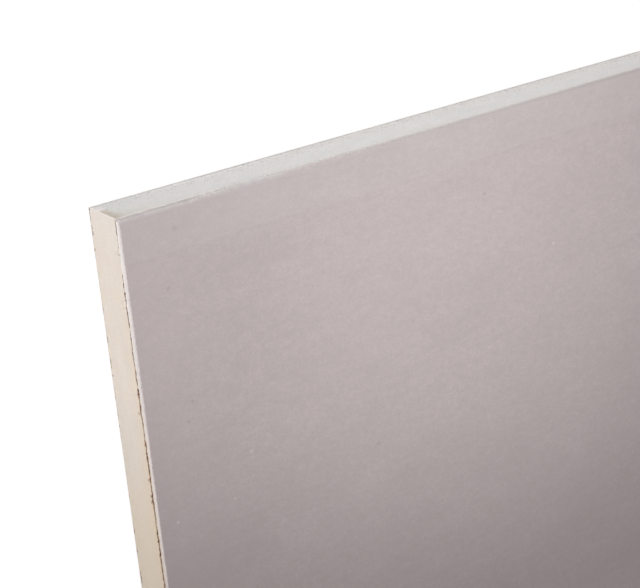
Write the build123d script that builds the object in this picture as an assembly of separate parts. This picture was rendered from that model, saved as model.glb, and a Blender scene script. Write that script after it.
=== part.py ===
"""One full sheet of square-edge drywall (plasterboard), lying flat with its back up.

The board is a gypsum core cast between two papers. The face paper is the wider
one: it covers the face, is creased up round both long edges and is lapped a
short way onto the back. The back paper covers the rest, lies over both laps and
stops just short of the long edges, so a narrow strip of the lap shows there.
Both ends are sawn, and show the core between the papers.

Frame: +X along the length, +Y across the width, +Z out of the back paper. The
origin is the middle of the face that the board lies on. Units are millimetres.
"""

from build123d import *
import os

# The sheet as it is sold
LENGTH = 2400.0
WIDTH = 1200.0
THICKNESS = 12.5

# The two papers
FACE_PAPER = 0.4
BACK_PAPER = 0.4

# The long edges: the outside radius of the creases, how far the face paper is
# lapped onto the back, and how far the back paper stops short of the edge
CREASE_RADIUS = 0.5
LAP_WIDTH = 20.0
BACK_SETBACK = 0.8


def band(bottom, top, half_width):
    """The part of a cross-section between two heights, centred on the board."""
    height = top - bottom
    return Pos(0, bottom + height / 2) * Rectangle(2 * half_width, height)


def rounded_band(bottom, top, half_width, radius):
    """A band whose four corners are rounded."""
    height = top - bottom
    return Pos(0, bottom + height / 2) * RectangleRounded(2 * half_width, height, radius)


# Heights of the layers in the cross-section, from the face up
face_inside = FACE_PAPER
back_inside = THICKNESS - BACK_PAPER
lap_inside = back_inside - FACE_PAPER

# Half widths of the layers, from the middle of the board
edge = WIDTH / 2
edge_inside = edge - FACE_PAPER
lap_start = edge - LAP_WIDTH
back_edge = edge - BACK_SETBACK


def gypsum_core_section():
    """The casting: full width below the laps, and raised between them to meet the back paper."""
    body = rounded_band(face_inside, lap_inside, edge_inside, CREASE_RADIUS - FACE_PAPER)
    raised = band(lap_inside, back_inside, lap_start)
    return body + raised


def face_paper_section():
    """One unbroken strip: across the face, up both edges and in over the back."""
    outside = rounded_band(0, back_inside, edge, CREASE_RADIUS)
    return outside - gypsum_core_section()


def back_paper_section():
    """The flat strip over the core and the two laps."""
    return band(back_inside, THICKNESS, back_edge)


def along_the_board(section):
    """A cross-section drawn out along the whole length, as the board line makes it."""
    standing = Plane.YZ.offset(-LENGTH / 2) * section
    return extrude(standing, amount=LENGTH)


pieces = {
    "gypsum_core": along_the_board(gypsum_core_section()),
    "face_paper": along_the_board(face_paper_section()),
    "back_paper": along_the_board(back_paper_section()),
}

os.makedirs("parts", exist_ok=True)
for name, piece in pieces.items():
    export_step(piece, f"parts/{name}.step")
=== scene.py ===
"""A full sheet of square-edge drywall, lying on its ivory face with its grey back up.

The board is put together in the order in which it is made: the gypsum core, the face paper that is
folded up round it, and the back paper over both. Each section also holds what the saw left at that
piece's ends. Lengths are in metres, or in millimetres where a name or a comment says so, in the
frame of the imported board: X along it, Y across it and Z out of its back.
"""

import bmesh
import bpy
import numpy as np
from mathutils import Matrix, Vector


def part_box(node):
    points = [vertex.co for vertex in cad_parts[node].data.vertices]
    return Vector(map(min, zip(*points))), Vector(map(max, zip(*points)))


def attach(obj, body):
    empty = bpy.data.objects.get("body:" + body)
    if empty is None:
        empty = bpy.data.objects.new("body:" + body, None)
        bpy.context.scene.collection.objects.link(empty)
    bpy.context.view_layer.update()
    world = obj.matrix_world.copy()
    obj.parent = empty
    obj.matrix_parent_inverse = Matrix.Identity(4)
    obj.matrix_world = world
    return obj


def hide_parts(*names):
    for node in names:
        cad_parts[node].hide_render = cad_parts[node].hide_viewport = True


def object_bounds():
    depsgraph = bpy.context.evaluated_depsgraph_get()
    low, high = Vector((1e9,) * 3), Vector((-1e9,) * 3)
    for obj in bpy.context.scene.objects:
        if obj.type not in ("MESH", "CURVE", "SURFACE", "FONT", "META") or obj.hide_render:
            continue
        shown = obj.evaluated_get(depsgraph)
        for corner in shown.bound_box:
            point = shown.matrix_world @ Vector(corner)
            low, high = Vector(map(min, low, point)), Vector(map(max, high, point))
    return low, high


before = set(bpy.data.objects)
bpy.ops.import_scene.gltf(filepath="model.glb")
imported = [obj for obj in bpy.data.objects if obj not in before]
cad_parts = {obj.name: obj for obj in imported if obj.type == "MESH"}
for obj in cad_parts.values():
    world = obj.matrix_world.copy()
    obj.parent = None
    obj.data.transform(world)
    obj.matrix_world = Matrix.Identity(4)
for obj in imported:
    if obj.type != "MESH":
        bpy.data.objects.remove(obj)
cad_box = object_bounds()


# The camera
# It stands over the corner where a bound long edge meets a sawn end, looks along the board and
# down at its back, and is turned so that the bound edge runs down the left of the picture.
MM = 0.001
CAMERA_FROM_CORNER = Vector((-122.33, -170.08, 337.27)) * MM
CAMERA_TURN_DEG = (-17.457, -34.890, 83.812)
CAMERA_LENS_MM = 104.48
CAMERA_NEAREST = 10 * MM

board_low, board_high = cad_box
corner = Vector((board_low.x, board_low.y, board_high.z))
bpy.ops.object.camera_add(
    location=corner + CAMERA_FROM_CORNER,
    rotation=[np.radians(turn) for turn in CAMERA_TURN_DEG],
)
camera = bpy.context.object
camera.data.lens = CAMERA_LENS_MM
camera.data.clip_start = CAMERA_NEAREST
bpy.context.scene.camera = camera


# The gypsum core
# Set gypsum, poured as a foam between the papers, full width below the laps of the face paper and
# raised between them. Both ends are sawn: chalky, with small pits where the saw opened bubbles,
# and a pocket beside each bound edge, where the gypsum didn't fill the fold and broke back.
CORE_FINE_ZONE = 160 * MM
CORE_FINE_PITCH = 0.3 * MM
CORE_COARSE_PITCH = 1.6 * MM
CORE_LAYER_PITCH = 0.36 * MM
SAW_ROUGHNESS = 0.06 * MM
SAW_GRAIN = 0.7 * MM
SAW_WAVE = 0.15 * MM
SAW_WAVE_LENGTH = 7 * MM
BUBBLE_DEPTH = 0.3 * MM
BUBBLE_SIZE = 0.6 * MM
BUBBLY_HEIGHT = 5 * MM
BUBBLES_ABOVE = 0.35
POCKET_DEPTH = 1.6 * MM
POCKET_WIDTH = 3.0 * MM
POCKET_FROM_FACE = 3.6 * MM
POCKET_SLOPE = 1.6 * MM
POCKET_GRAIN = 1.1 * MM
ARRIS_CHIP_DEPTH = 0.05 * MM
ARRIS_CHIP_WIDTH = 1.0 * MM
ARRIS_CHIP_GRAIN = 1.3 * MM
TINY = 0.01 * MM


def start_cube(name, low, high):
    """Adds a cube of that size and place, with nothing else selected, and opens it in edit mode."""
    bpy.ops.object.select_all(action="DESELECT")
    bpy.ops.mesh.primitive_cube_add(size=1, location=(low + high) / 2, scale=high - low)
    piece = bpy.context.object
    piece.name = piece.data.name = name
    bpy.ops.object.transform_apply(location=True, rotation=True, scale=True)
    bpy.ops.object.mode_set(mode="EDIT")
    return piece


def select(piece, kind, rule):
    """Selects, in edit mode, only the edges or faces that the rule holds for."""
    bpy.ops.mesh.select_all(action="DESELECT")
    bpy.ops.mesh.select_mode(type=kind)
    mesh = bmesh.from_edit_mesh(piece.data)
    for part in mesh.edges if kind == "EDGE" else mesh.faces:
        part.select_set(rule(part))
    bmesh.update_edit_mesh(piece.data)


def cut(axis, place):
    """Cuts all that is in edit mode along a plane across the axis."""
    at, across = [0, 0, 0], [0, 0, 0]
    at[axis], across[axis] = place, 1
    bpy.ops.mesh.select_all(action="SELECT")
    bpy.ops.mesh.bisect(plane_co=at, plane_no=across)


def divide(piece, axis, low, high, pitch):
    """Divides the edges that run along the axis, from low to high, at about that pitch."""

    def runs_there(edge):
        a, b = (v.co for v in edge.verts)
        along = abs(a[axis] - b[axis])
        within = min(a[axis], b[axis]) > low - TINY and max(a[axis], b[axis]) < high + TINY
        return within and along > 0.99 * (a - b).length and along > TINY

    select(piece, "EDGE", runs_there)
    cuts = round((high - low) / pitch) - 1
    bpy.ops.mesh.subdivide_edgering(number_cuts=cuts, interpolation="LINEAR")


def points(piece):
    """The places of the piece's points, as rows of X, Y and Z."""
    found = np.zeros(len(piece.data.vertices) * 3)
    piece.data.vertices.foreach_get("co", found)
    return found.reshape(-1, 3)


def press(piece, shares, axis, depth, grain=None, keep=(0.0, 1.0)):
    """Moves the points of a piece along an axis, each by its share of the depth.

    With a grain, the size of a noise along X, Y and Z, the noise thins the depth out: where it is
    under keep's first value nothing moves, and where it is over the second the share is whole."""
    group = piece.vertex_groups.new(name="press")
    steps = np.round(np.clip(shares, 0, 1) * 100).astype(int)
    for step in np.unique(steps[steps > 0]):
        group.add(np.flatnonzero(steps == step).tolist(), step / 100, "REPLACE")
    moved = piece.modifiers.new("press", "DISPLACE")
    moved.vertex_group = group.name
    moved.direction = axis
    moved.strength = depth
    moved.mid_level = 0
    if grain:
        bpy.ops.object.empty_add()
        size = bpy.context.object
        size.scale = grain
        bpy.context.view_layer.update()
        noise = bpy.data.textures.new("press", "CLOUDS")
        noise.noise_scale = 1
        noise.use_color_ramp = True
        for stop, place, level in zip(noise.color_ramp.elements, keep, (0, 1)):
            stop.position = place
            stop.color = (level, level, level, 1)
        moved.texture = noise
        moved.texture_coords = "OBJECT"
        moved.texture_coords_object = size
    bpy.ops.object.select_all(action="DESELECT")
    piece.select_set(True)
    bpy.context.view_layer.objects.active = piece
    bpy.ops.object.modifier_apply(modifier=moved.name)
    piece.vertex_groups.clear()
    if grain:
        bpy.data.objects.remove(size)
        bpy.data.textures.remove(noise)


core_low, core_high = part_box("gypsum_core")
back_low, back_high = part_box("back_paper")
LAP_WIDTH = 20 * MM
LAP_PAPER = back_high.z - back_low.z
lap_inside = core_high.z - LAP_PAPER
lap_start = board_high.y - LAP_WIDTH


def between_laps(face):
    """Whether a face looks up from the board between the two laps."""
    return face.normal.z > 0.9 and abs(face.calc_center_median().y) < lap_start


core = start_cube("core", core_low, Vector((core_high.x, core_high.y, lap_inside)))
for side in (-lap_start, lap_start):
    cut(1, side)
select(core, "FACE", between_laps)
bpy.ops.mesh.extrude_region_move(TRANSFORM_OT_translate={"value": (0, 0, LAP_PAPER)})
fine_end = core_low.y + CORE_FINE_ZONE
cut(1, fine_end)
columns = (
    (core_low.y, -lap_start, CORE_FINE_PITCH),
    (-lap_start, fine_end, CORE_FINE_PITCH),
    (fine_end, lap_start, CORE_COARSE_PITCH),
    (lap_start, core_high.y, CORE_COARSE_PITCH),
)
for low, high, pitch in columns:
    divide(core, 1, low, high, pitch)
divide(core, 2, core_low.z, lap_inside, CORE_LAYER_PITCH)
divide(core, 2, lap_inside, core_high.z, LAP_PAPER / 2)
bpy.ops.object.mode_set(mode="OBJECT")

spots = points(core)
from_bound_edge = core_high.y - np.abs(spots[:, 1])
from_face = spots[:, 2] - core_low.z
near_arris = np.clip(1 - from_face / ARRIS_CHIP_WIDTH, 0, 1)
bubbly = BUBBLES_ABOVE + (1 - BUBBLES_ABOVE) * np.clip(1 - from_face / BUBBLY_HEIGHT, 0, 1)
pocket = np.clip(1 - from_bound_edge / POCKET_WIDTH, 0, 1)
pocket = pocket * np.clip((from_face - POCKET_FROM_FACE) / POCKET_SLOPE, 0, 1)
for end, inward in ((core_low.x, 1), (core_high.x, -1)):
    sawn = np.abs(spots[:, 0] - end) < TINY
    press(core, sawn, "X", inward * SAW_ROUGHNESS, [SAW_GRAIN] * 3)
    press(core, sawn, "X", inward * SAW_WAVE, [SAW_WAVE_LENGTH] * 3)
    press(core, sawn * bubbly, "X", inward * BUBBLE_DEPTH, [BUBBLE_SIZE] * 3, keep=(0.66, 0.8))
    press(core, sawn * pocket, "X", inward * POCKET_DEPTH)
    press(core, sawn * pocket, "X", inward * POCKET_DEPTH / 3, [POCKET_GRAIN] * 3, keep=(0.35, 0.75))
    chipped = sawn * near_arris
    press(core, chipped, "X", inward * ARRIS_CHIP_DEPTH, [ARRIS_CHIP_GRAIN] * 3, keep=(0.45, 0.75))


def from_hex(code):
    """An sRGB colour such as "e2e1df" as linear values."""
    parts = [int(code[i:i + 2], 16) / 255 for i in (0, 2, 4)]
    return [p / 12.92 if p <= 0.04045 else ((p + 0.055) / 1.055) ** 2.4 for p in parts] + [1]


def add_node(material, kind, feeds=(), **settings):
    """Adds a shader node with its settings, and gives its sockets a value or another's output."""
    made = material.node_tree.nodes.new("ShaderNode" + kind)
    for name, value in settings.items():
        setattr(made, name, value)
    for socket, feed in dict(feeds).items():
        if isinstance(feed, bpy.types.NodeSocket):
            material.node_tree.links.new(feed, made.inputs[socket])
        else:
            made.inputs[socket].default_value = feed
    return made


def start_material(name):
    """An empty material, with its Principled shader and the place on the piece in millimetres."""
    material = bpy.data.materials.new(name)
    material.use_nodes = True
    shader = material.node_tree.nodes["Principled BSDF"]
    place = add_node(material, "TexCoord").outputs["Object"]
    place_mm = add_node(material, "VectorMath", {0: place, 3: 1 / MM}, operation="SCALE")
    return material, shader, place_mm.outputs[0]


def pattern(material, place_mm, grain, turn=0, detail=2, roughness=0.5):
    """A noise from 0 to 1 whose features are about grain mm in size along X, Y and Z.

    Few of a noise's own values lie outside 0.3 to 0.7, so these two are made 0 and 1."""
    feeds = {0: place_mm, 2: (0, 0, turn), 3: grain}
    sized = add_node(material, "Mapping", feeds, vector_type="TEXTURE").outputs[0]
    noise = add_node(material, "TexNoise", {0: sized, 2: 1, 3: detail, 4: roughness}).outputs[0]
    return add_node(material, "MapRange", {0: noise, 1: 0.3, 2: 0.7}).outputs[0]


def inside(material, place_mm, axis, half_length):
    """How far in mm a place is in from the nearer of two outsides, each a half length off middle."""
    offset = add_node(material, "SeparateXYZ", {0: place_mm}).outputs[axis]
    off_middle = add_node(material, "Math", {0: offset}, operation="ABSOLUTE").outputs[0]
    feeds = {0: half_length / MM, 1: off_middle}
    return add_node(material, "Math", feeds, operation="SUBTRACT").outputs[0]


def share_of(material, parts):
    """Shares multiplied. Each is a number, an output, or an output with where it is 0 and where 1."""
    total = 1
    for part in parts:
        if isinstance(part, tuple):
            value, none, whole = part
            part = add_node(material, "MapRange", {0: value, 1: none, 2: whole}).outputs[0]
        total = add_node(material, "Math", {0: total, 1: part}, operation="MULTIPLY").outputs[0]
    return total


def lay(material, under, *coats):
    """Coats of colour laid in turn over what is under them. Each is a colour, and then its shares."""
    for colour, *shares in coats:
        feeds = {0: share_of(material, shares), 6: under, 7: colour}
        under = add_node(material, "Mix", feeds, data_type="RGBA").outputs[2]
    return under


# Sawn gypsum plaster is a dry, chalky white with a trace of grey. It has no gloss. The saw opens
# its air bubbles, most of them near the face, as small dull pits, whose shade is painted in, and by
# the back paper the pulp and the paste have tinted it, with a band of painted shade beside it. Near
# the face it is painted lighter against the floor's shade. The crystals are too fine to show, so the
# grain is that of the dust.
gypsum, gypsum_shader, gypsum_mm = start_material("sawn_gypsum_plaster")
GYPSUM_WHITE = from_hex("e6e6e4")
GYPSUM_GREY = from_hex("dadbda")
GYPSUM_WARM = from_hex("e9e3dd")
GYPSUM_CHALK_AND_PAINTED_LIGHT = from_hex("f7f7f5")
GYPSUM_STAIN_AND_SHADE = from_hex("b9aa8f")
GYPSUM_POCKET_STAIN_AND_SHADE = from_hex("d8c7aa")
GYPSUM_UNDER_POCKET = from_hex("f8f3ec")
GYPSUM_HOLLOW_SHADE = from_hex("a9a6a2")
PIT_SPACING_MM = 0.8
gypsum_clouds = pattern(gypsum, gypsum_mm, (8, 8, 5))
gypsum_warmth = pattern(gypsum, gypsum_mm, (15, 15, 9))
gypsum_grain = pattern(gypsum, gypsum_mm, (0.5, 0.5, 0.5), detail=4, roughness=0.7)
bubbles = add_node(gypsum, "TexVoronoi", {0: gypsum_mm, "Scale": 1 / PIT_SPACING_MM})
pit = (bubbles.outputs["Distance"], 0.3, 0.18)
from_edge = inside(gypsum, gypsum_mm, "Y", core_high.y)
up = add_node(gypsum, "SeparateXYZ", {0: gypsum_mm}).outputs["Z"]
from_face = add_node(gypsum, "Math", {0: up, 1: core_low.z / MM}, operation="SUBTRACT").outputs[0]
from_back = add_node(gypsum, "Math", {0: core_high.z / MM, 1: up}, operation="SUBTRACT").outputs[0]
pocket_mm = POCKET_FROM_FACE / MM
in_pocket = ((from_edge, POCKET_WIDTH / MM, 0.4), (from_face, pocket_mm - 0.4, pocket_mm + 0.6))
under_pocket = ((from_edge, 2.0, 0.7), (from_face, pocket_mm + 0.5, pocket_mm - 0.4))
torn_top = ((from_back, 1.6, 0.6), (from_edge, 14, 20), (from_edge, 90, 40))

# In this material and the others, a coat's colour comes first, then how strong it is, and then each
# thing that bounds it, with its value where the coat is bare and where it is whole. Distances from
# the piece's outsides are in millimetres.
gypsum_colour = lay(
    gypsum, GYPSUM_WHITE,
    (GYPSUM_GREY, gypsum_clouds),
    (GYPSUM_WARM, 0.4, gypsum_warmth),
    (GYPSUM_GREY, 0.7, gypsum_grain),
    # Painted light near the face and at its arris, lifting the floor's shade there, and greyer near the
    # folds of the face paper.
    (GYPSUM_CHALK_AND_PAINTED_LIGHT, 0.48, (from_face, 7, 0.4)),
    (GYPSUM_GREY, 0.35, (from_edge, 30, 6)),
    (GYPSUM_CHALK_AND_PAINTED_LIGHT, 0.6, (from_face, 1.6, 0.6), (from_edge, 8, 22)),
    # A brownish stain with painted shade in the pocket, a tint and a wider band of painted shade by the
    # back paper, and warmer by the face away from the folds.
    (GYPSUM_POCKET_STAIN_AND_SHADE, 0.85, *in_pocket),
    (GYPSUM_STAIN_AND_SHADE, 0.11, (from_back, 3, 0.3)),
    # Painted shade: darker toward the back paper over this wider band.
    (GYPSUM_STAIN_AND_SHADE, 0.22, (from_back, 7, 2), (from_edge, 18, 2)),
    (GYPSUM_WARM, 0.35, (from_face, 6, 1), (from_edge, 36, 56)),
    # Painted shade in the pits, the darker ones toward the face.
    (GYPSUM_HOLLOW_SHADE, 0.18, pit),
    (GYPSUM_HOLLOW_SHADE, 0.45, pit, (from_face, 6.5, 2.5)),
    # Paler under the pocket, and crumbled along the back paper, with painted shade between pale crumbs.
    (GYPSUM_UNDER_POCKET, 0.65, *under_pocket),
    (GYPSUM_HOLLOW_SHADE, 0.5, (gypsum_grain, 0.55, 0.8), *torn_top),
    (GYPSUM_CHALK_AND_PAINTED_LIGHT, 0.9, (gypsum_grain, 0.45, 0.2), *torn_top),
)
gypsum_bump = add_node(gypsum, "Bump", {0: 0.6, 1: SAW_ROUGHNESS, 3: gypsum_grain})
gypsum.node_tree.links.new(gypsum_colour, gypsum_shader.inputs["Base Color"])
gypsum.node_tree.links.new(gypsum_bump.outputs[0], gypsum_shader.inputs["Normal"])
gypsum_shader.inputs["Roughness"].default_value = 0.95
gypsum_shader.inputs["IOR"].default_value = 1.52

core.data.materials.append(gypsum)
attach(core, "root")
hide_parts("gypsum_core")


# The face paper
# One strip of ivory multi-ply paper, creased and folded up round both long edges and lapped onto
# the back. Along the folds its sized top ply has cracked, and brown pulp shows in the cracks. At
# the sawn ends the bare edge of the paper shows.
FACE_PAPER = core_low.z - board_low.z
FOLD_RADIUS = 0.5 * MM
FOLD_SEGMENTS = 9
FOLD_BAND = 1.2 * MM
PAPER_FINE_ZONE = 100 * MM
PAPER_FINE_PITCH = 0.2 * MM
PAPER_COARSE_PITCH = 9 * MM
PAPER_TOOTH = 0.02 * MM

# How the folds are cracked. Near the photographed corner the crack of the upper fold is a row of
# dashes, each from and to a distance from the sawn end and open by a share. Past them it runs on at
# random, nearer to the lap, and is torn wider at a few places. The lower fold only has nicks.
CRACK_DEPTH = 0.2 * MM
CRACK_HALF_WIDTH_MM = 0.12
CRACK_WALL_MM = 0.1
CRACK_FLUTTER = 0.8
LEAST_OPEN = 0.02
CRACK_TURN_DEG = 39
CRACK_TURNS_ON_MM = (42, 47)
CRACK_TURNS_ON_DEG = (0, 10)
LOWER_CRACK_TURN_DEG = 8
LONG_SWAY_DEG = 8
SHORT_SWAY_DEG = 14
DASH_END_MM = 0.3
TEAR_REACH_MM = 0.5
TEAR_WIDENS_MM = 0.13
TEAR_TURNS_DEG = 14
FAR_FROM_CRACK_MM = 2.0
NO_CRACK_MM = -0.25
CRACK_DASHES_MM = (
    (0.4, 1.8, 0.27), (1.8, 3.7, 0.34), (3.7, 4.9, 0.2), (5.6, 5.9, 0.35), (6.4, 6.9, 0.3),
    (7.9, 8.6, 0.3), (12.9, 14.1, 0.2), (14.5, 15.8, 0.85), (16.5, 19.3, 0.5), (20.0, 24.9, 0.6),
    (25.9, 27.2, 0.32), (27.3, 28.6, 0.7), (28.7, 30.6, 0.5), (30.6, 32.3, 0.7), (32.3, 35.2, 0.33),
    (35.3, 38.9, 0.75), (39.6, 42.1, 1.05), (42.1, 43.4, 0.6), (43.4, 45.4, 1.05),
)
CRACK_RUNS_ON_MM = 45.4
CRACK_TEARS_MM = (45.7, 53.5, 62.0, 66.1, 67.5, 75.8, 77.8, 81.4)
LOWER_DASHES_MM = (
    (0.0, 0.5, 0.9), (0.5, 4.4, 0.4), (4.4, 4.9, 1.0), (5.2, 6.3, 0.85), (9.3, 10.0, 0.5),
    (22.5, 24.7, 0.5), (30.2, 32.0, 0.6), (35.7, 38.0, 0.5), (39.6, 40.1, 0.8), (42.6, 45.8, 0.45),
    (49.1, 51.0, 0.5), (52.1, 52.6, 0.7), (54.7, 55.5, 0.5), (69.5, 70.8, 0.45), (76.9, 78.9, 0.55),
    (78.9, 80.0, 1.0), (83.8, 85.2, 0.7), (90.1, 92.5, 0.8), (92.6, 93.2, 1.2),
)

face_low, face_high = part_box("face_paper")
strip_width = back_low.y - face_low.y
paper = start_cube("paper_face", face_low, face_high)
select(paper, "EDGE", lambda edge: abs(edge.verts[0].co.x - edge.verts[1].co.x) > TINY)
bpy.ops.mesh.bevel(offset=FOLD_RADIUS, offset_type="OFFSET", segments=FOLD_SEGMENTS, affect="EDGES")
select(paper, "FACE", lambda face: abs(face.normal.x) > 0.9)
bpy.ops.mesh.delete(type="FACE")
for line in (lap_start, face_high.y - strip_width):
    cut(1, line)
    cut(1, -line)
select(paper, "FACE", between_laps)
bpy.ops.mesh.delete(type="FACE")
for line in (face_low.z + FOLD_BAND, face_high.z - FOLD_BAND):
    cut(2, line)
paper_fine_end = face_low.x + PAPER_FINE_ZONE
cut(0, paper_fine_end)
divide(paper, 0, face_low.x, paper_fine_end, PAPER_FINE_PITCH)
divide(paper, 0, paper_fine_end, face_high.x, PAPER_COARSE_PITCH)
bpy.ops.object.mode_set(mode="OBJECT")

wall = paper.modifiers.new("wall", "SOLIDIFY")
wall.thickness = FACE_PAPER
wall.offset = -1
wall.use_even_offset = True
bpy.ops.object.modifier_apply(modifier=wall.name)


def wander(along, pitch, seed):
    """A smooth random line from 0 to 1, with a new value at each pitch along it."""
    knots = np.arange(along.min() - pitch, along.max() + 2 * pitch, pitch)
    return np.interp(along, knots, np.random.default_rng(seed).uniform(0, 1, len(knots)))


def turn_round_fold(spots, side, level):
    """The turn of each point round a fold in degrees, under 0 on the edge's face, else NaN."""
    out = side * spots[:, 1] - (face_high.y - FOLD_RADIUS)
    half_height = (face_high.z - face_low.z) / 2
    up = level * (spots[:, 2] - face_low.z - half_height) - (half_height - FOLD_RADIUS)
    on_fold = (np.hypot(out, up) > FOLD_RADIUS - TINY) & (out > -TINY) & (up > -TINY)
    on_face = (out > FOLD_RADIUS - TINY) & (np.abs(up + FOLD_BAND / 2) < FOLD_BAND / 2)
    turn = np.where(on_face, up / FOLD_RADIUS, np.arctan2(up, out))
    return np.where(on_fold | on_face, np.degrees(turn), np.nan)


def mark(piece, name, values, domain="POINT"):
    """Keeps a number for each point or face of the piece, for its material to read."""
    kept = piece.data.attributes.new(name, "FLOAT", domain)
    kept.data.foreach_set("value", values.astype(np.float32))


spots = points(paper)
from_end_mm = (spots[:, 0] - face_low.x) / MM


def dashed(dashes):
    """How far a fold is open at each point, by a list of dashes."""
    opened = np.zeros(len(spots))
    for start, stop, open_share in dashes:
        reach = np.minimum(from_end_mm - start, stop - from_end_mm)
        opened = np.maximum(opened, np.clip(reach / DASH_END_MM + 0.5, 0, 1) * open_share)
    return opened


def run_on(seed, closed_share):
    """How far a fold is open at each point past its dashes: at random, but for a closed share."""
    slowly = wander(from_end_mm, 4, seed + 20)
    sharply = wander(from_end_mm, 0.9, seed + 30) ** 2
    opened = 0.26 + 0.48 * slowly + 0.58 * sharply
    return np.where(wander(from_end_mm, 6, seed + 40) < closed_share, 0, opened)


# For each point round a fold: how far it is past the crack's line, and half the crack's width there.
# Each fold has its side, its level, how much of it is closed, its dashes and where they stop.
past_crack = np.full(len(spots), -FAR_FROM_CRACK_MM)
past_crack[spots[:, 2] > face_high.z - TINY] = FAR_FROM_CRACK_MM
half_crack = np.full(len(spots), NO_CRACK_MM)
folds = (
    (-1, 1, 0.0, CRACK_DASHES_MM, CRACK_RUNS_ON_MM),
    (-1, -1, 0.6, LOWER_DASHES_MM, PAPER_FINE_ZONE / MM),
    (1, 1, 0.3, (), 0),
    (1, -1, 0.6, (), 0),
)
for seed, (side, level, closed_share, dashes, dashes_stop) in enumerate(folds):
    turn = turn_round_fold(spots, side, level)
    opened = np.where(from_end_mm > dashes_stop, run_on(seed, closed_share), dashed(dashes))
    line = CRACK_TURN_DEG if level > 0 else LOWER_CRACK_TURN_DEG
    line = line + LONG_SWAY_DEG * (wander(from_end_mm, 3, seed + 10) - 0.5)
    opened = opened * (1 + CRACK_FLUTTER * (wander(from_end_mm, 0.5, seed + 60) - 0.5))
    if level > 0:
        line = line + np.interp(from_end_mm, CRACK_TURNS_ON_MM, CRACK_TURNS_ON_DEG)
        line = line + SHORT_SWAY_DEG * (wander(from_end_mm, 0.9, seed + 50) - 0.5)
    half = np.where(opened > LEAST_OPEN, CRACK_HALF_WIDTH_MM * opened, NO_CRACK_MM)
    if dashes == CRACK_DASHES_MM:
        for place in CRACK_TEARS_MM:
            tear = np.clip(1 - np.abs(from_end_mm - place) / TEAR_REACH_MM, 0, 1)
            half = half + TEAR_WIDENS_MM * tear
            line = line - TEAR_TURNS_DEG * tear
    past = np.radians(turn - line) * FOLD_RADIUS / MM
    share = np.clip((half - np.abs(past)) / CRACK_WALL_MM + 0.5, 0, 1)
    share = np.nan_to_num(share * (half > 0))
    press(paper, share, "Y", -side * CRACK_DEPTH)
    press(paper, share, "Z", -level * CRACK_DEPTH)
    past_crack = np.where(np.isnan(turn), past_crack, past)
    half_crack = np.where(np.isnan(turn), half_crack, half)
mark(paper, "past_crack", past_crack)
mark(paper, "half_crack", half_crack)

# Ivory liner is smooth calendered paper with a sized top ply. It is a dry warm white, paled by dust
# near the sawn end and warmer where the fold has stretched it; on the lap, which faces up, it is laid
# whiter as painted light. Single fibres are too fine to show, so its mottle is that of their flocks.
# The pulp in the cracks is bare and brown. Painted shade darkens the lower fold, the crease along the
# lap and the cracks deep down.
ivory, ivory_shader, ivory_mm = start_material("ivory_liner_paper")
IVORY_PALE = from_hex("e6dfd6")
IVORY_GREY = from_hex("d8d2cb")
IVORY_DEEP = from_hex("e2d8c6")
IVORY_WARM = from_hex("e3cdb3")
IVORY_FLOCK = from_hex("ccc2b6")
IVORY_DUSTED = from_hex("e0dad4")
IVORY_HANDLED = from_hex("d8cfc4")
IVORY_LAP = from_hex("fef9f3")
IVORY_LAP_DUSTED = from_hex("e5e1df")
IVORY_RIM_AND_CREASE_SHADE = from_hex("a1968a")
IVORY_STRETCHED = from_hex("dcc09c")
PULP_BROWN = from_hex("8f7056")
PULP_DEEP_SHADE = from_hex("5e4534")
PULP_RED = from_hex("8e5c3c")
SAWN_FACE = from_hex("f9f7f4")
SAWN_LAP = from_hex("f3eee7")
LAP_END = from_hex("a79b95")
LOWER_FOLD_SHADE = from_hex("a09a96")
GYPSUM_DUST = from_hex("dadbd9")
SCUFFS_MM = ((7.2, 0.0, 11.4), (19.7, 0.0, 11.6))
NICKS_MM = ((40.8, 0.0, 11.6), (45.8, 0.0, 11.2), (62.2, 0.0, 11.6), (66.3, 0.0, 11.6), (67.8, 0.0, 11.4))
RED_TEARS_MM = ((53.0, 0.0, 11.5), (67.6, 0.0, 11.5))


def nearest(material, place_mm, spots_mm):
    """How far a place is from the nearest of some spots, given from the photographed corner."""
    found = 1000
    for along, across, height in spots_mm:
        spot = (corner.x / MM + along, corner.y / MM + across, height)
        away = add_node(material, "VectorMath", {0: place_mm, 1: spot}, operation="DISTANCE")
        found = add_node(material, "Math", {0: found, 1: away.outputs["Value"]}, operation="MINIMUM")
        found = found.outputs[0]
    return found


ivory_clouds = pattern(ivory, ivory_mm, (14, 8, 5))
ivory_flocks = pattern(ivory, ivory_mm, (3.5, 3, 3))
ivory_fibres = pattern(ivory, ivory_mm, (0.6, 0.8, 0.8), detail=3, roughness=0.7)
ragged = pattern(ivory, ivory_mm, (0.45, 0.45, 0.45), detail=3, roughness=0.6)
wide_tears = pattern(ivory, ivory_mm, (1.4, 1.4, 1.4))
up = add_node(ivory, "SeparateXYZ", {0: ivory_mm}).outputs["Z"]
from_back = add_node(ivory, "Math", {0: face_high.z / MM, 1: up}, operation="SUBTRACT").outputs[0]
from_cut = inside(ivory, ivory_mm, "X", face_high.x)
from_edge = inside(ivory, ivory_mm, "Y", face_high.y)

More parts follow.
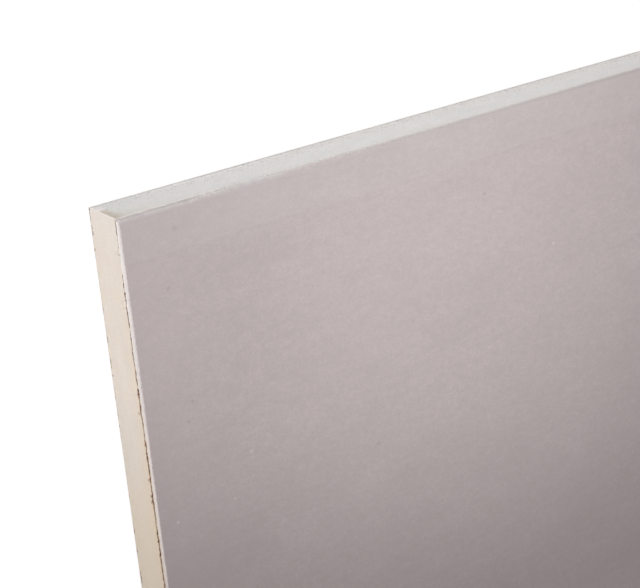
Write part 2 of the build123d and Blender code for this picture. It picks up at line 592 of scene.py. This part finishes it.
# How far in mm a place is in a crack, whose rim is ragged and torn back further here and there.
past_line = add_node(ivory, "Attribute", attribute_name="past_crack").outputs["Fac"]
half_width = add_node(ivory, "Attribute", attribute_name="half_crack").outputs["Fac"]
off_line = add_node(ivory, "Math", {0: past_line}, operation="ABSOLUTE").outputs[0]
in_crack = add_node(ivory, "Math", {0: half_width, 1: off_line}, operation="SUBTRACT").outputs[0]
rag = add_node(ivory, "MapRange", {0: ragged, 3: -0.1, 4: 0.09}).outputs[0]
tear = add_node(ivory, "MapRange", {0: wide_tears, 1: 0.7, 2: 1, 4: 0.1}).outputs[0]
jagged = in_crack
for torn_by in (rag, tear):
    jagged = add_node(ivory, "Math", {0: jagged, 1: torn_by}, operation="ADD").outputs[0]

torn_open = (jagged, -0.03, 0.02)
beside_crack = ((in_crack, -0.5, -0.05), (past_line, 0.02, -0.04), (half_width, 0.02, 0.08))
inland = (from_cut, 20, 60)
on_top = (from_back, 1, 0.8)
on_lap = ((past_line, 0.1, 0.2), on_top)
in_scuff = (nearest(ivory, ivory_mm, SCUFFS_MM), 2.2, 1.0)
in_nick = (nearest(ivory, ivory_mm, NICKS_MM), 0.55, 0.2)
in_red_tear = (nearest(ivory, ivory_mm, RED_TEARS_MM), 1.2, 0.5)
sawn_share = add_node(ivory, "Attribute", attribute_name="sawn").outputs["Fac"]
sawn_plies = lay(ivory, SAWN_FACE, (SAWN_LAP, (up, 1.0, 4.0)))
lap_colour = lay(
    ivory, IVORY_LAP_DUSTED,
    (IVORY_LAP, (from_cut, 36, 80)),
    (IVORY_WARM, 0.6, (past_line, 0.6, 0.2), inland),
)
ivory_colour = lay(
    ivory, IVORY_PALE,
    (IVORY_GREY, ivory_clouds),
    # Deeper away from the sawn end, warmer toward the upper fold and dusted at the very end, with a
    # handled stretch and a greyed one.
    (IVORY_DEEP, 0.9, (from_cut, 46, 82)),
    (IVORY_WARM, 0.35, ivory_flocks),
    (IVORY_WARM, 0.6, (from_back, 5, 0.7), (from_cut, 2, 60)),
    (IVORY_DUSTED, 0.6, (from_cut, 9, 1)),
    (IVORY_HANDLED, 0.4, (from_cut, 5, 11), (from_cut, 36, 24)),
    (IVORY_GREY, 0.25, (from_cut, 38, 46), (from_cut, 72, 60)),
    (IVORY_FLOCK, 0.5, ivory_fibres),
    # Painted shade on the lower fold, and gypsum dust on the side that faces the core.
    (LOWER_FOLD_SHADE, 0.6, (up, 0.75, 0.15), (from_edge, 0.45, 0.25)),
    (GYPSUM_DUST, 0.9, (from_edge, 0.35, 0.5), (up, 2, 1), (up, 0.1, 0.3)),
    # Scuffs down to the pulp, with pale fibres raised in them, and the stretched rim of the crack.
    (PULP_BROWN, 0.5, in_scuff, (ragged, 0.62, 0.8)),
    (IVORY_LAP, 0.5, in_scuff, (ragged, 0.4, 0.2)),
    (IVORY_STRETCHED, 0.35, *beside_crack, inland),
    # The lap, laid whiter as painted light, the painted shade of the crease along it, and its dusty and
    # then bare end.
    (lap_colour, *on_lap),
    # Painted shade of the crease along the lap.
    (IVORY_RIM_AND_CREASE_SHADE, 0.35, (off_line, 0.15, 0.03), on_top),
    (SAWN_LAP, 0.7, (from_cut, 1.1, 0.4), *on_lap),
    (LAP_END, 0.95, (from_cut, 0.85, 0.4), (from_edge, 1.4, 1.2), *on_lap),
    # Tears and nicks, and the pulp in the cracks: redder in flocks, darker deep down by painted shade,
    # and paler near the sawn end and in the lower fold.
    (PULP_RED, 0.6, in_red_tear, (jagged, -0.3, -0.05)),
    (PULP_BROWN, 0.9, in_nick, (ragged, 0.25, 0.5)),
    (PULP_BROWN, torn_open),
    (PULP_RED, 0.5, torn_open, (ivory_flocks, 0.5, 0.7)),
    (PULP_DEEP_SHADE, (jagged, 0.02, 0.1), (wide_tears, 0.2, 0.6)),
    (IVORY_RIM_AND_CREASE_SHADE, 0.6, torn_open, (from_cut, 11, 5)),
    (IVORY_RIM_AND_CREASE_SHADE, 0.5, torn_open, (up, 3, 2)),
    (sawn_plies, sawn_share),
)
ivory_bump = add_node(ivory, "Bump", {0: 0.8, 1: PAPER_TOOTH, 3: ivory_fibres})
ivory.node_tree.links.new(ivory_colour, ivory_shader.inputs["Base Color"])
ivory.node_tree.links.new(ivory_bump.outputs[0], ivory_shader.inputs["Normal"])
ivory_shader.inputs["Roughness"].default_value = 0.72
ivory_shader.inputs["IOR"].default_value = 1.5


SAWN_REACH = 0.5 * MM
SAWN_FACES_ALONG = 0.6


def mark_sawn(piece, low, high):
    """Marks the faces of a paper that the saw has cut: near an end, and turned along the board."""
    count = len(piece.data.polygons)
    centres, normals = np.zeros(count * 3), np.zeros(count * 3)
    piece.data.polygons.foreach_get("center", centres)
    piece.data.polygons.foreach_get("normal", normals)
    along = centres[::3]
    at_end = np.minimum(along - low.x, high.x - along) < SAWN_REACH
    mark(piece, "sawn", at_end & (np.abs(normals[::3]) > SAWN_FACES_ALONG), "FACE")


mark_sawn(paper, face_low, face_high)
paper.data.materials.append(ivory)
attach(paper, "root")
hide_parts("face_paper")


# The back paper
# One strip of grey recycled paper, slit to width and glued down over the core and both laps. It
# is unsized, with a mottle of mixed fibres and a few flecks. The saw leaves its ends a little
# frayed, and dusty, most so beside the laps.
LINER_BELOW_TOP = 0.02 * MM
LINER_FINE_PITCH = 0.3 * MM
LINER_COARSE_PITCH = 2.4 * MM
LINER_LAYER_PITCH = 0.1 * MM
LINER_ROWS_MM = (0.15, 0.4, 0.9, 1.8, 8, 12)
LINER_END_BAND = 0.6 * MM
LINER_ROUGHNESS = 0.06 * MM
LINER_GRAIN = (0.5 * MM, 0.5 * MM, 0.2 * MM)
LINER_SINKS = 0.08 * MM
LINER_SINKS_GRAIN = (2.5 * MM, 2.5 * MM, 2.5 * MM)
SLIT_INSET = 0.1 * MM
SLIT_STRAY = 0.45 * MM
SLIT_STRAYS_MM = (0.9, 1.8, 8, 12)
SLIT_STRAY_SHARES = (0.95, 0.3, 0.15, 0)
OVER_LAP_SETBACK = 0.1 * MM
LAP_STEP = 1.5 * MM
FRAY_DEPTH = 0.2 * MM
FRAY_GRAIN = (1.2 * MM, 1.2 * MM, 0.4 * MM)
FRAY_FROM = 14 * MM
FRAY_STARTS_OVER = 4 * MM
FRAY_TO = 75 * MM
FRAY_FADES_OVER = 15 * MM

liner_top = back_high.z - LINER_BELOW_TOP
liner_low = Vector((back_low.x, back_low.y + SLIT_INSET, back_low.z))
liner_high = Vector((back_high.x, back_high.y - SLIT_INSET, liner_top))
liner = start_cube("paper_back", liner_low, liner_high)
liner_fine_end = liner_low.y + CORE_FINE_ZONE
cut(1, liner_fine_end)
for step in LINER_ROWS_MM:
    cut(0, back_low.x + step * MM)
    cut(0, back_high.x - step * MM)
divide(liner, 1, liner_low.y, liner_fine_end, LINER_FINE_PITCH)
divide(liner, 1, liner_fine_end, liner_high.y, LINER_COARSE_PITCH)
divide(liner, 2, back_low.z, liner_top, LINER_LAYER_PITCH)
bpy.ops.object.mode_set(mode="OBJECT")

spots = points(liner)
from_bound_edge = board_high.y - np.abs(spots[:, 1])
over_lap = np.clip((LAP_WIDTH - from_bound_edge) / LAP_STEP + 0.5, 0, 1)
on_slit = liner_high.y - np.abs(spots[:, 1]) < TINY
strays = np.interp((back_high.x - np.abs(spots[:, 0])) / MM, SLIT_STRAYS_MM, SLIT_STRAY_SHARES)
for side in (-1, 1):
    press(liner, on_slit * strays * (side * spots[:, 1] > 0), "Y", side * SLIT_STRAY)
frayed = np.clip((from_bound_edge - FRAY_FROM) / FRAY_STARTS_OVER, 0, 1)
frayed = frayed * np.clip((FRAY_TO - from_bound_edge) / FRAY_FADES_OVER, 0, 1)
for end, inward in ((back_low.x, 1), (back_high.x, -1)):
    by_end = np.clip(1 - np.abs(spots[:, 0] - end) / LINER_END_BAND, 0, 1)
    press(liner, by_end * over_lap, "X", inward * OVER_LAP_SETBACK)
    press(liner, by_end * frayed, "X", inward * FRAY_DEPTH, FRAY_GRAIN, keep=(0.4, 0.8))
    press(liner, by_end, "X", inward * LINER_ROUGHNESS, LINER_GRAIN)
    press(liner, by_end, "Z", -LINER_SINKS, LINER_SINKS_GRAIN, keep=(0.3, 0.8))

# Recycled grey liner is made of mixed waste fibre, with a faint pink-mauve cast. It is matt, and
# its colour is uneven at every scale: fibres, streaks across the board, and broad soft clouds. As
# on the ivory paper, the finest pattern is that of flocks, not of single fibres.
grey, grey_shader, grey_mm = start_material("grey_recycled_liner_paper")
GREY_MAUVE = from_hex("b4aaaa")
GREY_LIGHT = from_hex("c2b7b7")
GREY_DARK = from_hex("a89e9e")
GREY_DUSTED = from_hex("c6c3c2")
GREY_FILM = from_hex("b3b0ae")
GREY_SAWN = from_hex("d1cdc8")
GREY_SAWN_DARK = from_hex("d2cdcb")
GREY_SPECK_AND_SHADE = from_hex("8b7f7e")
GREY_FLAKE = from_hex("dcd3d1")
GREY_TORN = from_hex("ddd6d3")
FAINT_LINE_MM = 10.6
FLECK_PITCH_MM = 25
SPECK_REACH_MM = 0.6
DARK_SPECKS = (
    (5.7, 13.9, 0.95, 0.25), (18.7, 10.6, 0.75, 0.28), (46.7, 13.0, 0.6, 0.35),
    (51.2, 11.4, 0.6, 0.35), (74.5, 62.6, 0.6, 0.35), (20.1, 100.2, 0.6, 0.35),
)
PALE_SPECKS = (
    (64.1, 26.8, 0.7, 0.33), (74.2, 21.1, 0.6, 0.33), (74.6, 5.5, 0.6, 0.5), (38.9, 121.5, 0.6, 0.4),
)
grey_fibres = pattern(grey, grey_mm, (0.5, 0.7, 0.7), turn=-0.3, detail=3, roughness=0.58)
grey_flocks = pattern(grey, grey_mm, (1.2, 1.9, 1.9), turn=-0.2)
grey_streaks = pattern(grey, grey_mm, (1.8, 8, 8), turn=0.05)
grey_clouds = pattern(grey, grey_mm, (12, 26, 26), turn=0.1, detail=3)
grey_wide = pattern(grey, grey_mm, (420, 90, 90))
grey_wobble = pattern(grey, grey_mm, (30, 20, 20), detail=1)
from_cut = inside(grey, grey_mm, "X", board_high.x)
from_edge = inside(grey, grey_mm, "Y", board_high.y)
lap_mm = LAP_WIDTH / MM
grey_colour = lay(
    grey, GREY_LIGHT,
    (GREY_MAUVE, grey_fibres),
    (GREY_DARK, 0.4, grey_flocks),
    (GREY_DARK, 0.22, grey_streaks),
    (GREY_DARK, 0.26, grey_clouds),
    (GREY_LIGHT, 0.15, grey_wide),
    # Paler over the lap, where it lies a little higher.
    (GREY_LIGHT, 0.3, (from_edge, lap_mm + 6, lap_mm - 14)),
)

# Small specks of darker and paler fibre: those in the photographed corner, and others elsewhere.
# Each of the first has its place from the sawn end and from the bound edge, its reach and its share.
board_top_mm = liner_top / MM
for specks, speck_colour in ((DARK_SPECKS, GREY_SPECK_AND_SHADE), (PALE_SPECKS, GREY_FLAKE)):
    for along, across, reach, share in specks:
        away = nearest(grey, grey_mm, [(along, across, board_top_mm)])
        grey_colour = lay(grey, grey_colour, (speck_colour, share, (away, reach, reach / 4)))
fleck_feeds = {0: grey_mm, "Scale": 1 / FLECK_PITCH_MM}
flecks = add_node(grey, "TexVoronoi", fleck_feeds, voronoi_dimensions="2D").outputs
fleck_reach = SPECK_REACH_MM / FLECK_PITCH_MM
in_fleck = (flecks["Distance"], fleck_reach, fleck_reach / 4)
fleck_kind = add_node(grey, "SeparateColor", {0: flecks["Color"]}).outputs[0]
elsewhere = (nearest(grey, grey_mm, [(0, 0, board_top_mm)]), 200, 215)
grey_colour = lay(
    grey, grey_colour,
    (GREY_SPECK_AND_SHADE, 0.35, in_fleck, (fleck_kind, 0.6, 0.61), elsewhere),
    (GREY_FLAKE, 0.4, in_fleck, (fleck_kind, 0.28, 0.27), elsewhere),
)

# How far in mm a place is past the faint line beside the sawn end, which wavers by half a
# millimetre, and in from the slit side, which is ragged and strays outward at the end.
wavers = {0: grey_wobble, 3: -0.5 - FAINT_LINE_MM, 4: 0.5 - FAINT_LINE_MM}
line_offset = add_node(grey, "MapRange", wavers).outputs[0]
past_line = add_node(grey, "Math", {0: from_cut, 1: line_offset}, operation="ADD").outputs[0]
slit_mm = (board_high.y - liner_high.y) / MM
rag = add_node(grey, "MapRange", {0: grey_fibres, 3: -0.1 - slit_mm, 4: 0.1 - slit_mm}).outputs[0]
stray_from, stray_to, strayed = SLIT_STRAYS_MM[-1], SLIT_STRAYS_MM[-2], SLIT_STRAY_SHARES[-2]
stray_feeds = {0: from_cut, 1: stray_from, 2: stray_to, 4: strayed * SLIT_STRAY / MM}
stray = add_node(grey, "MapRange", stray_feeds).outputs[0]
from_slit = from_edge
for moved_by in (rag, stray):
    from_slit = add_node(grey, "Math", {0: from_slit, 1: moved_by}, operation="ADD").outputs[0]

above_lap = (from_edge, lap_mm + 1.5, lap_mm - 1)
at_lap_step = ((from_edge, 12, 18), (from_edge, 33, 26), (from_cut, 1.5, 0.3))
torn_end = ((from_edge, 35, 55), (from_edge, 115, 70), (from_cut, 1.4, 0.5))
further_on = (from_edge, 115, 145)
line_fade = (grey_clouds, 0.35, 0.6)
sawn_share = add_node(grey, "Attribute", attribute_name="sawn").outputs["Fac"]
sawn_colour = lay(
    grey, GREY_SAWN,
    (GREY_SAWN_DARK, above_lap),
    (GREY_SPECK_AND_SHADE, 0.3, (grey_fibres, 0.6, 0.9)),
    (GREY_SPECK_AND_SHADE, 0.1, further_on),
)
grey_colour = lay(
    grey, grey_colour,
    # A paler, dusty band up to the faint line, which is pale on one side and has a painted shadow on
    # the other, and more dust just past the lap.
    (GREY_DUSTED, 0.1, (past_line, 0.4, -0.4)),
    (GREY_FLAKE, 0.05, (past_line, -0.7, -0.3), (past_line, 0.1, -0.3), line_fade),
    (GREY_SPECK_AND_SHADE, 0.05, (past_line, 0, 0.3), (past_line, 0.8, 0.3), line_fade),
    (GREY_DUSTED, 0.12, (from_edge, 16, 24), (from_edge, 50, 38), (from_cut, 14, 8)),
    # At the very end a grey film, with gypsum dust on it, most of it beside the lap.
    (GREY_FILM, 0.2, (from_cut, 2.0, 0.1)),
    (GREY_FILM, 0.4, (from_cut, 2.4, 0.3), (from_edge, 50, 85)),
    (GYPSUM_DUST, 0.45, (from_edge, 92, 40), (from_cut, 1.4, 0), (grey_flocks, 0.1, 0.7)),
    (GYPSUM_DUST, 0.45, (from_cut, 0.4, 0), (grey_fibres, 0, 0.6)),
    # Torn fibres, pale and dark: over the step of the lap, past it, and where the end is frayed.
    (GREY_TORN, 0.6, (grey_fibres, 0.55, 0.8), *at_lap_step),
    (GREY_SPECK_AND_SHADE, 0.25, (grey_fibres, 0.35, 0.1), *at_lap_step),
    (GREY_SPECK_AND_SHADE, 0.14, (from_cut, 0.2, 0.4), (from_cut, 0.9, 0.5), (from_edge, 45, 80)),
    (GREY_SPECK_AND_SHADE, 0.12, (from_cut, 0.9, 0.5), further_on),
    (GREY_SPECK_AND_SHADE, 0.17, (grey_fibres, 0.5, 0.85), *torn_end),
    (GREY_TORN, 0.2, (grey_fibres, 0.5, 0.15), *torn_end),
    # Over the lap more dust, and a thin line of painted shade in the gap where the saw has parted the two
    # papers.
    (GYPSUM_DUST, 0.16, (from_cut, 1.3, 0.7), above_lap),
    (GREY_SPECK_AND_SHADE, 0.42, (from_cut, 0.1, 0.22), (from_cut, 0.5, 0.22), above_lap),
    # The slit side, whose cut fibres are pale, and the sawn end itself.
    (GREY_TORN, 0.5, (from_slit, 0.08, 0)),
    (sawn_colour, sawn_share),
)
grey_bump = add_node(grey, "Bump", {0: 0.4, 1: PAPER_TOOTH, 3: grey_fibres})
grey.node_tree.links.new(grey_colour, grey_shader.inputs["Base Color"])
grey.node_tree.links.new(grey_bump.outputs[0], grey_shader.inputs["Normal"])
grey_shader.inputs["Roughness"].default_value = 0.85
grey_shader.inputs["IOR"].default_value = 1.5

mark_sawn(liner, back_low, back_high)
liner.data.materials.append(grey)
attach(liner, "root")
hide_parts("back_paper")


# The floor and the light
# A pale floor under an even white sky, a broad lamp over the middle of the board, and three small
# soft lamps by the photographed corner: over it, by its bound edge and by its sawn end. To the
# camera the floor is near white by itself, and it keeps a trace of the board's shadow.
FLOOR_SIZE = 30.0
FLOOR_DROP = 0.05 * MM
FLOOR_WHITE = 0.8
FLOOR_SHOWN_LIT = 0.3
FLOOR_SHOWN_GLOW = 0.85
SKY_LEVEL = 0.43
SKY_TINT = from_hex("fff9fa")

bpy.ops.object.select_all(action="DESELECT")
bpy.ops.mesh.primitive_plane_add(size=FLOOR_SIZE, location=(0, 0, board_low.z - FLOOR_DROP))
floor = bpy.context.object
floor.name = "floor"
floor_white = bpy.data.materials.new("floor_white")
floor_white.use_nodes = True
floor_white.node_tree.nodes.clear()


def seen_directly(material):
    """1 for rays from the camera, and for what is seen in gloss or through glass."""
    rays = add_node(material, "LightPath").outputs
    seen = rays["Is Camera Ray"]
    for kind in ("Is Glossy Ray", "Is Transmission Ray"):
        seen = add_node(material, "Math", {0: seen, 1: rays[kind]}, operation="MAXIMUM").outputs[0]
    return seen


bounce = add_node(floor_white, "BsdfDiffuse", {0: [FLOOR_WHITE] * 3 + [1]}).outputs[0]
shown_lit = add_node(floor_white, "BsdfDiffuse", {0: [FLOOR_SHOWN_LIT] * 3 + [1]}).outputs[0]
shown_glow = add_node(floor_white, "Emission", {0: (1, 1, 1, 1), 1: FLOOR_SHOWN_GLOW}).outputs[0]
shown = add_node(floor_white, "AddShader", {0: shown_lit, 1: shown_glow}).outputs[0]
floor_mix = add_node(floor_white, "MixShader", {0: seen_directly(floor_white), 1: bounce, 2: shown})
add_node(floor_white, "OutputMaterial", {0: floor_mix.outputs[0]})
floor.data.materials.append(floor_white)

sky = bpy.data.worlds.new("sky")
bpy.context.scene.world = sky
sky.use_nodes = True
sky.node_tree.nodes.clear()
sky_seen = seen_directly(sky)
sky_colour = lay(sky, SKY_TINT, (from_hex("ffffff"), sky_seen))
sky_level = add_node(sky, "MapRange", {0: sky_seen, 3: SKY_LEVEL, 4: 1}).outputs[0]
sky_light = add_node(sky, "Background", {0: sky_colour, 1: sky_level})
add_node(sky, "OutputWorld", {0: sky_light.outputs[0]})


def add_lamp(name, place, aim, size, watts, spread_deg=180):
    """A soft rectangular lamp that the camera doesn't see, aimed at a place."""
    bpy.ops.object.light_add(type="AREA", location=place)
    lamp = bpy.context.object
    lamp.name = name
    lamp.rotation_euler = (aim - place).to_track_quat("-Z", "Y").to_euler()
    lamp.data.shape = "RECTANGLE"
    lamp.data.size, lamp.data.size_y = size
    lamp.data.energy = watts
    lamp.data.spread = np.radians(spread_deg)
    lamp.visible_camera = False


def by_corner(along, across_board, up_from_back):
    """A place given in millimetres from the photographed corner."""
    return corner + Vector((along, across_board, up_from_back)) * MM


over_corner, below = by_corner(150, 10, 244), by_corner(-120, 142, 0)
add_lamp("lamp_over_corner", over_corner, below, (0.06, 0.06), 0.19, spread_deg=80)
add_lamp("lamp_by_bound_edge", by_corner(15, -122, 20), by_corner(15, 0, -6), (0.12, 0.06), 0.092)
add_lamp("lamp_by_sawn_end", by_corner(-300, 80, 20), by_corner(0, 80, -6), (0.2, 0.06), 0.316)
add_lamp("lamp_over_middle", Vector((0.1, 0.05, 0.5)), Vector((0.1, 0.05, 0)), (1.5, 0.7), 2.9)

bpy.context.scene.view_settings.view_transform = "Standard"
